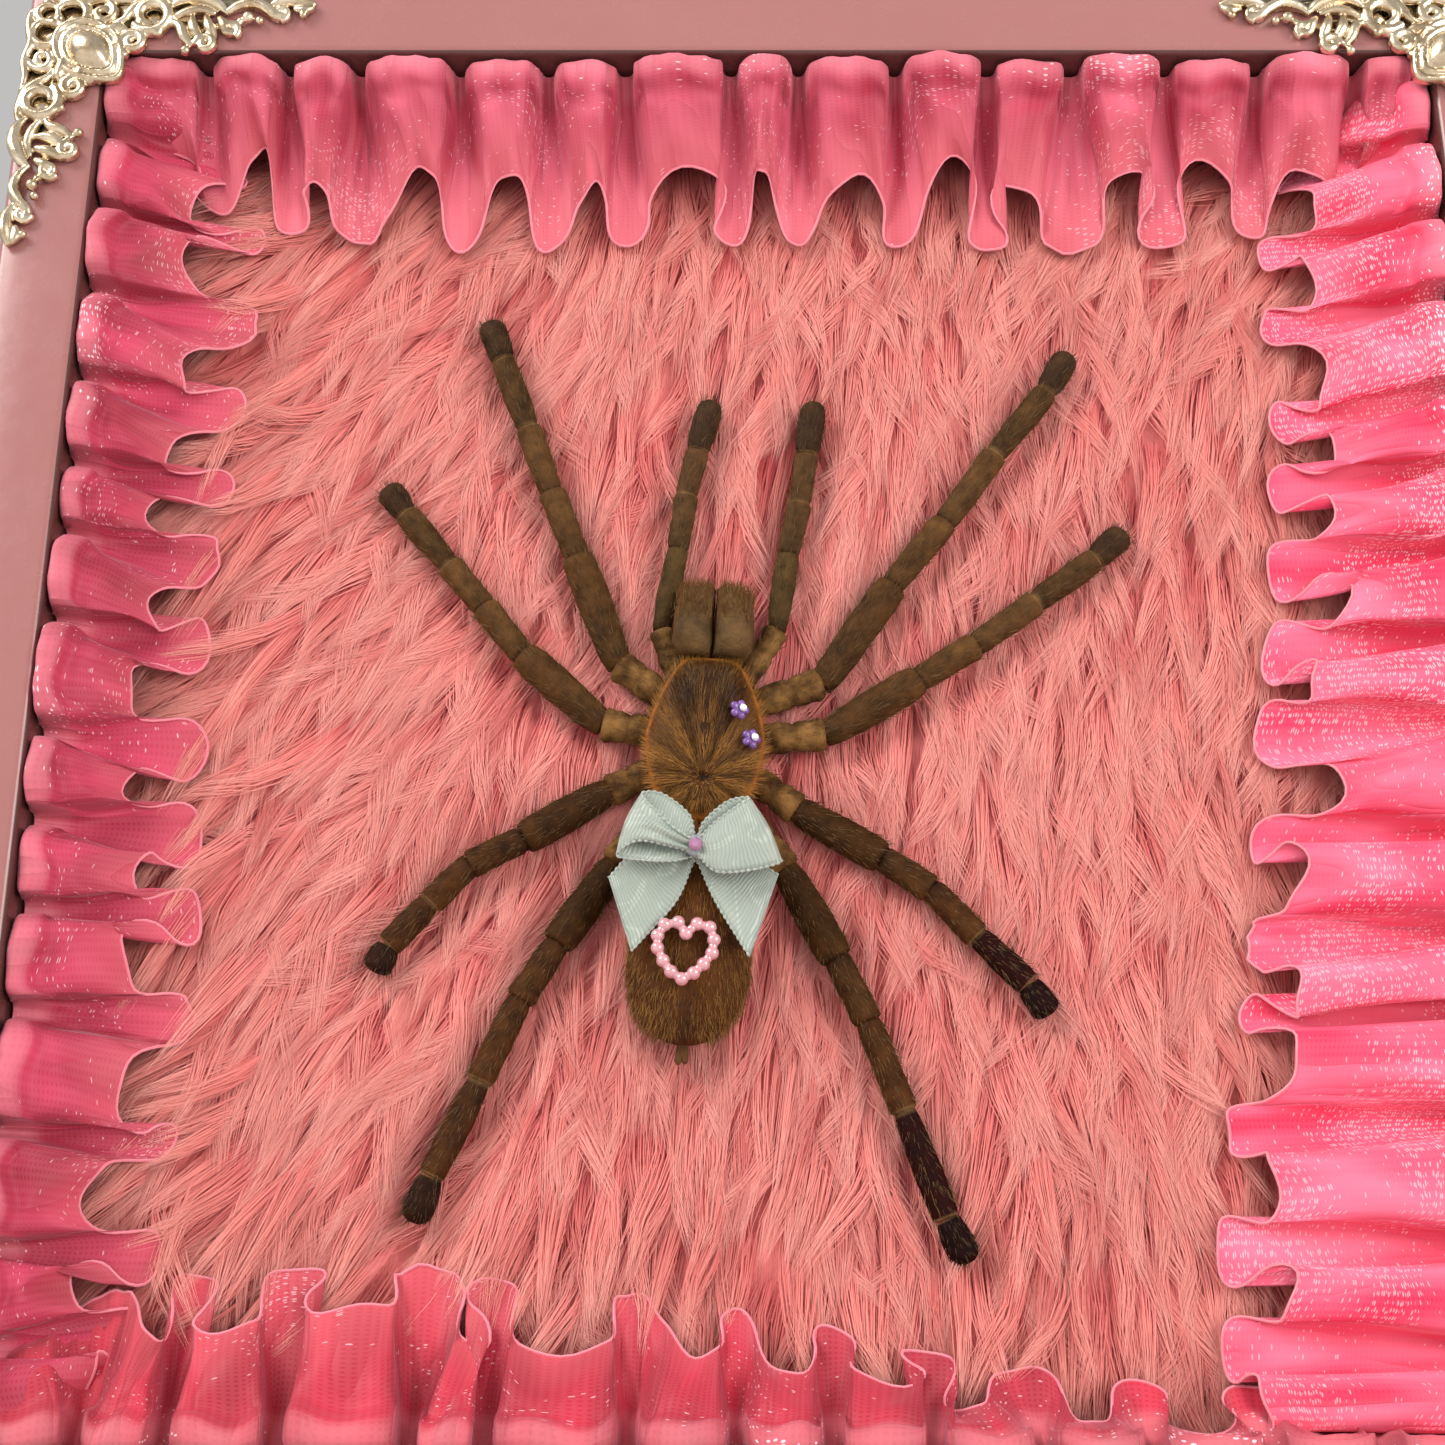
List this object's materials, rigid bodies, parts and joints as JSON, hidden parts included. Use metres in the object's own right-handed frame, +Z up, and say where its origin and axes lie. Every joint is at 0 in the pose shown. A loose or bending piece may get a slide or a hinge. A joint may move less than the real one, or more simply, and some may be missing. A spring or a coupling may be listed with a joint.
{
  "type": "framed tarantula specimen",
  "caption": "Spread dry tarantula dressed with a ribbon bow and gems, mounted on combed faux fur with gathered organza inside a square shadow-box frame with metal filigree corners.",
  "frame": {"origin": "middle of the bottom rail's underside, halfway between the rail's front and back faces", "axes": "+Z up, +Y out of the back, so the open front faces -Y, +X to the right as seen from the front"},
  "size_m": [0.2286, 0.034, 0.2286],
  "materials": {
    "rail_paint": "high-gloss dusty rose paint on moulding",
    "backing": "plain brown fibreboard",
    "filigree_metal": "cast openwork, polished champagne plating",
    "fur_pile": "salmon pink long-pile faux fur, combed",
    "organza": "sheer hot pink organza with fine sparkles",
    "chitin": "dry brown cuticle with short hairs",
    "bow_ribbon": "pale aqua grosgrain ribbon with picot edges",
    "bow_gem": "foil-backed lilac stone",
    "heart_pearl": "pink pearl lacquer",
    "flower_plastic": "clear violet plastic, pearl coated",
    "flower_stone": "foil-backed clear stone"
  },
  "bodies": {
    "root": {"frame_rail_top": "rail_paint", "frame_rail_bottom": "rail_paint", "frame_rail_left": "rail_paint", "frame_rail_right": "rail_paint", "backing_board": "backing", "corner_top_left": "filigree_metal", "corner_top_right": "filigree_metal", "corner_bottom_left": "filigree_metal", "corner_bottom_right": "filigree_metal", "fur_panel": "fur_pile", "ruffle_top": "organza", "ruffle_bottom": "organza", "ruffle_left": "organza", "ruffle_right": "organza", "carapace": "chitin", "abdomen": "chitin", "spinnerets": "chitin", "chelicera_left": "chitin", "chelicera_right": "chitin", "leg_left_1": "chitin", "leg_left_2": "chitin", "leg_left_3": "chitin", "leg_left_4": "chitin", "palp_left": "chitin", "leg_right_1": "chitin", "leg_right_2": "chitin", "leg_right_3": "chitin", "leg_right_4": "chitin", "palp_right": "chitin", "ribbon_bow": "bow_ribbon", "bow_gem": "bow_gem", "pearl_heart": "heart_pearl", "flower_gem_upper": "flower_plastic", "flower_stone_upper": "flower_stone", "flower_gem_lower": "flower_plastic", "flower_stone_lower": "flower_stone"}
  },
  "joints": []
}
